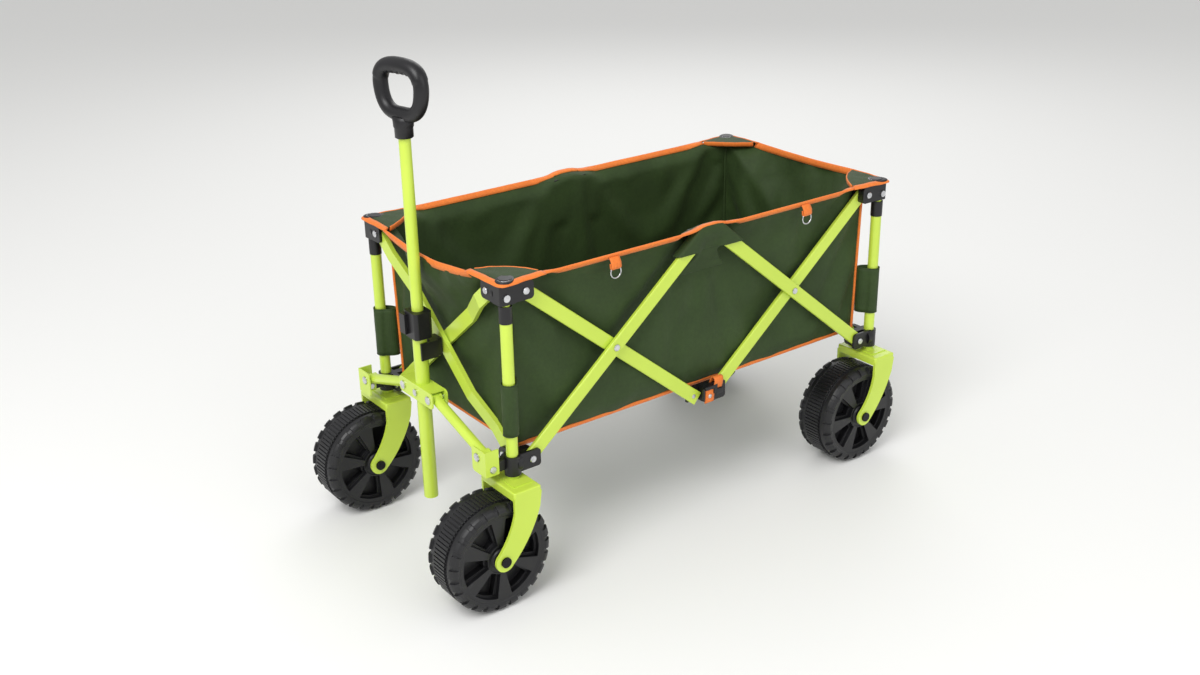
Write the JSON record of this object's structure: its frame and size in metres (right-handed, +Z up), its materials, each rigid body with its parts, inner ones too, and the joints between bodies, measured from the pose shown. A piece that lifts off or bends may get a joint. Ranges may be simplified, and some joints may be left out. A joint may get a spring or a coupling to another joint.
{
  "type": "beach cart",
  "caption": "Folding four-wheel beach cart with scissor frame, open fabric bag, swivelling front wheels and tilting telescopic pull handle.",
  "frame": {"origin": "centre of the bounding box at ground level", "axes": "+Z up, +Y along the cart away from the pull handle, +X the side on the right when looking along +Y"},
  "size_m": [0.5314, 1.0392, 0.878],
  "materials": {
    "lime_paint": "gloss powder coat",
    "black_plastic": "fine grain",
    "steel": "satin",
    "green_cloth": "woven polyester",
    "wheel_plastic": "moulded",
    "strap_cloth": "webbing",
    "black_steel": "black oxide"
  },
  "bodies": {
    "lower_post_front_left": {"post_front_left": "lime_paint", "bottom_connector_front_left": "black_plastic"},
    "lower_post_rear_left": {"post_rear_left": "lime_paint", "bottom_connector_rear_left": "black_plastic", "fork_rear_left": "lime_paint", "axle_rear_left": "black_steel"},
    "front_caster_left": {"fork_front_left": "lime_paint", "axle_front_left": "black_steel"},
    "upper_post_front_left": {"top_connector_front_left": "black_plastic", "bag_front": "green_cloth"},
    "rolling_wheel_front_left": {"wheel_front_left": "wheel_plastic"},
    "side_scissor_front_outer_left": {"side_bar_front_outer_left": "lime_paint"},
    "side_scissor_front_inner_left": {"side_bar_front_inner_left": "lime_paint"},
    "upper_post_rear_left": {"top_connector_rear_left": "black_plastic", "bag_rear": "green_cloth"},
    "rolling_wheel_rear_left": {"wheel_rear_left": "wheel_plastic"},
    "side_scissor_rear_outer_left": {"side_bar_rear_outer_left": "lime_paint"},
    "side_scissor_rear_inner_left": {"side_bar_rear_inner_left": "lime_paint"},
    "top_centre_left": {"centre_connector_top_left": "black_plastic", "bag_left": "green_cloth", "d_rings_left": "steel"},
    "bottom_centre_left": {"centre_connector_bottom_left": "black_plastic", "buckle_strap_left": "strap_cloth"},
    "floor_half_left": {"bag_floor_left": "green_cloth"},
    "corner_hinge_left": {"handle_corner_bracket_left": "lime_paint"},
    "swing_arm_left": {"handle_arm_left": "lime_paint"},
    "lower_post_front_right": {"post_front_right": "lime_paint", "bottom_connector_front_right": "black_plastic"},
    "lower_post_rear_right": {"post_rear_right": "lime_paint", "bottom_connector_rear_right": "black_plastic", "fork_rear_right": "lime_paint", "axle_rear_right": "black_steel"},
    "front_caster_right": {"fork_front_right": "lime_paint", "axle_front_right": "black_steel"},
    "upper_post_front_right": {"top_connector_front_right": "black_plastic"},
    "rolling_wheel_front_right": {"wheel_front_right": "wheel_plastic"},
    "side_scissor_front_outer_right": {"side_bar_front_outer_right": "lime_paint"},
    "side_scissor_front_inner_right": {"side_bar_front_inner_right": "lime_paint"},
    "upper_post_rear_right": {"top_connector_rear_right": "black_plastic"},
    "rolling_wheel_rear_right": {"wheel_rear_right": "wheel_plastic"},
    "side_scissor_rear_outer_right": {"side_bar_rear_outer_right": "lime_paint"},
    "side_scissor_rear_inner_right": {"side_bar_rear_inner_right": "lime_paint"},
    "top_centre_right": {"centre_connector_top_right": "black_plastic", "bag_right": "green_cloth", "d_rings_right": "steel"},
    "bottom_centre_right": {"centre_connector_bottom_right": "black_plastic", "buckle_strap_right": "strap_cloth"},
    "floor_half_right": {"bag_floor_right": "green_cloth"},
    "corner_hinge_right": {"handle_corner_bracket_right": "lime_paint"},
    "swing_arm_right": {"handle_arm_right": "lime_paint"},
    "end_scissor_front_outer": {"end_bar_front_outer": "lime_paint"},
    "end_scissor_front_inner": {"end_bar_front_inner": "lime_paint"},
    "end_scissor_rear_outer": {"end_bar_rear_outer": "lime_paint"},
    "end_scissor_rear_inner": {"end_bar_rear_inner": "lime_paint"},
    "handle_base": {"handle_centre_bracket": "lime_paint", "handle_tube": "lime_paint", "handle_clamp": "black_plastic"},
    "handle_pull": {"handle_rod": "lime_paint", "handle_grip": "black_plastic"},
    "tube_clip": {"parking_clip": "black_plastic"}
  },
  "joints": [
    {"name": "fold", "type": "hinge", "parent": "lower_post_front_left", "child": "side_scissor_front_outer_left", "pos_m": [0.212, -0.33475, 0.241], "axis": [1, 0, 0], "range_deg": [0, 36.5], "deforming": ["bag_left", "bag_right", "bag_floor_left", "bag_floor_right", "bag_front", "bag_rear", "d_rings_left", "d_rings_right"]},
    {"name": "top_centre_front_left", "type": "hinge", "parent": "side_scissor_front_outer_left", "child": "top_centre_left", "pos_m": [0.212, 0.02525, 0.537], "axis": [1, 0, 0], "range_deg": [-37, 0.5]},
    {"name": "side_front_cross_left", "type": "hinge", "parent": "side_scissor_front_outer_left", "child": "side_scissor_front_inner_left", "pos_m": [0.212, -0.15475, 0.389], "axis": [1, 0, 0], "range_deg": [-73.5, 0.5]},
    {"name": "bottom_centre_front_left", "type": "hinge", "parent": "side_scissor_front_inner_left", "child": "bottom_centre_left", "pos_m": [0.212, 0.02525, 0.241], "axis": [1, 0, 0], "range_deg": [-0.5, 37]},
    {"name": "upper_post_front_left", "type": "hinge", "parent": "side_scissor_front_inner_left", "child": "upper_post_front_left", "pos_m": [0.212, -0.33475, 0.537], "axis": [1, 0, 0], "range_deg": [-0.5, 37]},
    {"name": "top_centre_rear_left", "type": "hinge", "parent": "top_centre_left", "child": "side_scissor_rear_outer_left", "pos_m": [0.212, 0.07925, 0.537], "axis": [1, 0, 0], "range_deg": [-37, 0.5]},
    {"name": "lower_post_rear_left", "type": "hinge", "parent": "side_scissor_rear_outer_left", "child": "lower_post_rear_left", "pos_m": [0.212, 0.43925, 0.241], "axis": [1, 0, 0], "range_deg": [-0.5, 37]},
    {"name": "side_rear_cross_left", "type": "hinge", "parent": "side_scissor_rear_outer_left", "child": "side_scissor_rear_inner_left", "pos_m": [0.212, 0.25925, 0.389], "axis": [1, 0, 0], "range_deg": [-0.5, 73.5]},
    {"name": "upper_post_rear_left", "type": "hinge", "parent": "side_scissor_rear_inner_left", "child": "upper_post_rear_left", "pos_m": [0.212, 0.43925, 0.537], "axis": [1, 0, 0], "range_deg": [-37, 0.5]},
    {"name": "end_front_outer", "type": "hinge", "parent": "lower_post_front_left", "child": "end_scissor_front_outer", "pos_m": [0.18, -0.36875, 0.241], "axis": [0, 1, 0], "range_deg": [-0.5, 37]},
    {"name": "upper_post_front_right", "type": "hinge", "parent": "end_scissor_front_outer", "child": "upper_post_front_right", "pos_m": [-0.18, -0.36875, 0.537], "axis": [0, 1, 0], "range_deg": [-37, 0.5]},
    {"name": "end_front_cross", "type": "hinge", "parent": "end_scissor_front_outer", "child": "end_scissor_front_inner", "pos_m": [0, -0.36875, 0.389], "axis": [0, 1, 0], "range_deg": [-73.5, 0.5]},
    {"name": "lower_post_front_right", "type": "hinge", "parent": "end_scissor_front_inner", "child": "lower_post_front_right", "pos_m": [-0.18, -0.36875, 0.241], "axis": [0, 1, 0], "range_deg": [-0.5, 37]},
    {"name": "end_rear_outer", "type": "hinge", "parent": "lower_post_rear_left", "child": "end_scissor_rear_outer", "pos_m": [0.18, 0.47325, 0.241], "axis": [0, 1, 0], "range_deg": [-0.5, 37]},
    {"name": "upper_post_rear_right", "type": "hinge", "parent": "end_scissor_rear_outer", "child": "upper_post_rear_right", "pos_m": [-0.18, 0.47325, 0.537], "axis": [0, 1, 0], "range_deg": [-37, 0.5]},
    {"name": "end_rear_cross", "type": "hinge", "parent": "end_scissor_rear_outer", "child": "end_scissor_rear_inner", "pos_m": [0, 0.47325, 0.389], "axis": [0, 1, 0], "range_deg": [-73.5, 0.5]},
    {"name": "lower_post_rear_right", "type": "hinge", "parent": "end_scissor_rear_inner", "child": "lower_post_rear_right", "pos_m": [-0.18, 0.47325, 0.241], "axis": [0, 1, 0], "range_deg": [-0.5, 37]},
    {"name": "side_front_outer_right", "type": "hinge", "parent": "lower_post_front_right", "child": "side_scissor_front_outer_right", "pos_m": [-0.212, -0.33475, 0.241], "axis": [1, 0, 0], "range_deg": [-0.5, 37]},
    {"name": "top_centre_front_right", "type": "hinge", "parent": "side_scissor_front_outer_right", "child": "top_centre_right", "pos_m": [-0.212, 0.02525, 0.537], "axis": [1, 0, 0], "range_deg": [-37, 0.5]},
    {"name": "side_front_cross_right", "type": "hinge", "parent": "side_scissor_front_outer_right", "child": "side_scissor_front_inner_right", "pos_m": [-0.212, -0.15475, 0.389], "axis": [1, 0, 0], "range_deg": [-73.5, 0.5]},
    {"name": "bottom_centre_front_right", "type": "hinge", "parent": "side_scissor_front_inner_right", "child": "bottom_centre_right", "pos_m": [-0.212, 0.02525, 0.241], "axis": [1, 0, 0], "range_deg": [-0.5, 37]},
    {"name": "side_rear_outer_right", "type": "hinge", "parent": "lower_post_rear_right", "child": "side_scissor_rear_outer_right", "pos_m": [-0.212, 0.43925, 0.241], "axis": [1, 0, 0], "range_deg": [-37, 0.5]},
    {"name": "side_rear_cross_right", "type": "hinge", "parent": "side_scissor_rear_outer_right", "child": "side_scissor_rear_inner_right", "pos_m": [-0.212, 0.25925, 0.389], "axis": [1, 0, 0], "range_deg": [-0.5, 73.5]},
    {"name": "floor_fold_left", "type": "hinge", "parent": "top_centre_left", "child": "floor_half_left", "pos_m": [0.185, 0.05225, 0.248], "axis": [0, 1, 0], "range_deg": [-0.5, 70.97]},
    {"name": "floor_fold_right", "type": "hinge", "parent": "top_centre_right", "child": "floor_half_right", "pos_m": [-0.185, 0.05225, 0.248], "axis": [0, 1, 0], "range_deg": [-70.97, 0.5]},
    {"name": "handle_tilt", "type": "hinge", "parent": "lower_post_front_left", "child": "corner_hinge_left", "pos_m": [0.212, -0.40875, 0.243], "axis": [1, 0, 0], "range_deg": [0, 75]},
    {"name": "handle_tilt_right", "type": "hinge", "parent": "lower_post_front_right", "child": "corner_hinge_right", "pos_m": [-0.212, -0.40875, 0.243], "axis": [1, 0, 0], "range_deg": [-0.5, 75.5]},
    {"name": "arm_swing_left", "type": "hinge", "parent": "corner_hinge_left", "child": "swing_arm_left", "pos_m": [0.191, -0.40875, 0.261], "axis": [0, 1, 0], "range_deg": [-0.5, 63.87]},
    {"name": "arm_swing_right", "type": "hinge", "parent": "corner_hinge_right", "child": "swing_arm_right", "pos_m": [-0.191, -0.40875, 0.261], "axis": [0, 1, 0], "range_deg": [-63.87, 0.5]},
    {"name": "handle_base_level", "type": "hinge", "parent": "swing_arm_left", "child": "handle_base", "pos_m": [0.042, -0.40875, 0.307], "axis": [0, 1, 0], "range_deg": [-63.87, 0.5]},
    {"name": "handle_slide", "type": "slide", "parent": "handle_base", "child": "handle_pull", "axis": [0, 0, 1], "range_m": [-0.255, 0.03]},
    {"name": "clip_level", "type": "hinge", "parent": "end_scissor_front_outer", "child": "tube_clip", "pos_m": [0, -0.36875, 0.389], "axis": [0, 1, 0], "range_deg": [-37, 0.5]},
    {"name": "caster_swivel_left", "type": "hinge", "parent": "lower_post_front_left", "child": "front_caster_left", "pos_m": [0.212, -0.36875, 0.22], "axis": [0, 0, 1], "continuous": true},
    {"name": "wheel_spin_front_left", "type": "hinge", "parent": "front_caster_left", "child": "rolling_wheel_front_left", "pos_m": [0.212, -0.42225, 0.0974], "axis": [1, 0, 0], "continuous": true},
    {"name": "wheel_spin_rear_left", "type": "hinge", "parent": "lower_post_rear_left", "child": "rolling_wheel_rear_left", "pos_m": [0.212, 0.42225, 0.0974], "axis": [1, 0, 0], "continuous": true},
    {"name": "caster_swivel_right", "type": "hinge", "parent": "lower_post_front_right", "child": "front_caster_right", "pos_m": [-0.212, -0.36875, 0.22], "axis": [0, 0, 1], "continuous": true},
    {"name": "wheel_spin_front_right", "type": "hinge", "parent": "front_caster_right", "child": "rolling_wheel_front_right", "pos_m": [-0.212, -0.42225, 0.0974], "axis": [1, 0, 0], "continuous": true},
    {"name": "wheel_spin_rear_right", "type": "hinge", "parent": "lower_post_rear_right", "child": "rolling_wheel_rear_right", "pos_m": [-0.212, 0.42225, 0.0974], "axis": [1, 0, 0], "continuous": true}
  ],
  "couplings": [
    {"joint": "top_centre_front_left", "follows": "fold", "ratio": -1},
    {"joint": "side_front_cross_left", "follows": "fold", "ratio": -2},
    {"joint": "bottom_centre_front_left", "follows": "fold", "ratio": 1},
    {"joint": "upper_post_front_left", "follows": "fold", "ratio": 1},
    {"joint": "top_centre_rear_left", "follows": "fold", "ratio": -1},
    {"joint": "lower_post_rear_left", "follows": "fold", "ratio": 1},
    {"joint": "side_rear_cross_left", "follows": "fold", "ratio": 2},
    {"joint": "upper_post_rear_left", "follows": "fold", "ratio": -1},
    {"joint": "end_front_outer", "follows": "fold", "ratio": 1},
    {"joint": "upper_post_front_right", "follows": "fold", "ratio": -1},
    {"joint": "end_front_cross", "follows": "fold", "ratio": -2},
    {"joint": "lower_post_front_right", "follows": "fold", "ratio": 1},
    {"joint": "end_rear_outer", "follows": "fold", "ratio": 1},
    {"joint": "upper_post_rear_right", "follows": "fold", "ratio": -1},
    {"joint": "end_rear_cross", "follows": "fold", "ratio": -2},
    {"joint": "lower_post_rear_right", "follows": "fold", "ratio": 1},
    {"joint": "side_front_outer_right", "follows": "fold", "ratio": 1},
    {"joint": "top_centre_front_right", "follows": "fold", "ratio": -1},
    {"joint": "side_front_cross_right", "follows": "fold", "ratio": -2},
    {"joint": "bottom_centre_front_right", "follows": "fold", "ratio": 1},
    {"joint": "side_rear_outer_right", "follows": "fold", "ratio": -1},
    {"joint": "side_rear_cross_right", "follows": "fold", "ratio": 2},
    {"joint": "floor_fold_left", "follows": "fold", "ratio": 1.9308},
    {"joint": "floor_fold_right", "follows": "fold", "ratio": -1.9308},
    {"joint": "handle_tilt_right", "follows": "handle_tilt", "ratio": 1},
    {"joint": "arm_swing_left", "follows": "fold", "ratio": 1.7362},
    {"joint": "arm_swing_right", "follows": "fold", "ratio": -1.7362},
    {"joint": "handle_base_level", "follows": "fold", "ratio": -1.7362},
    {"joint": "clip_level", "follows": "fold", "ratio": -1}
  ]
}
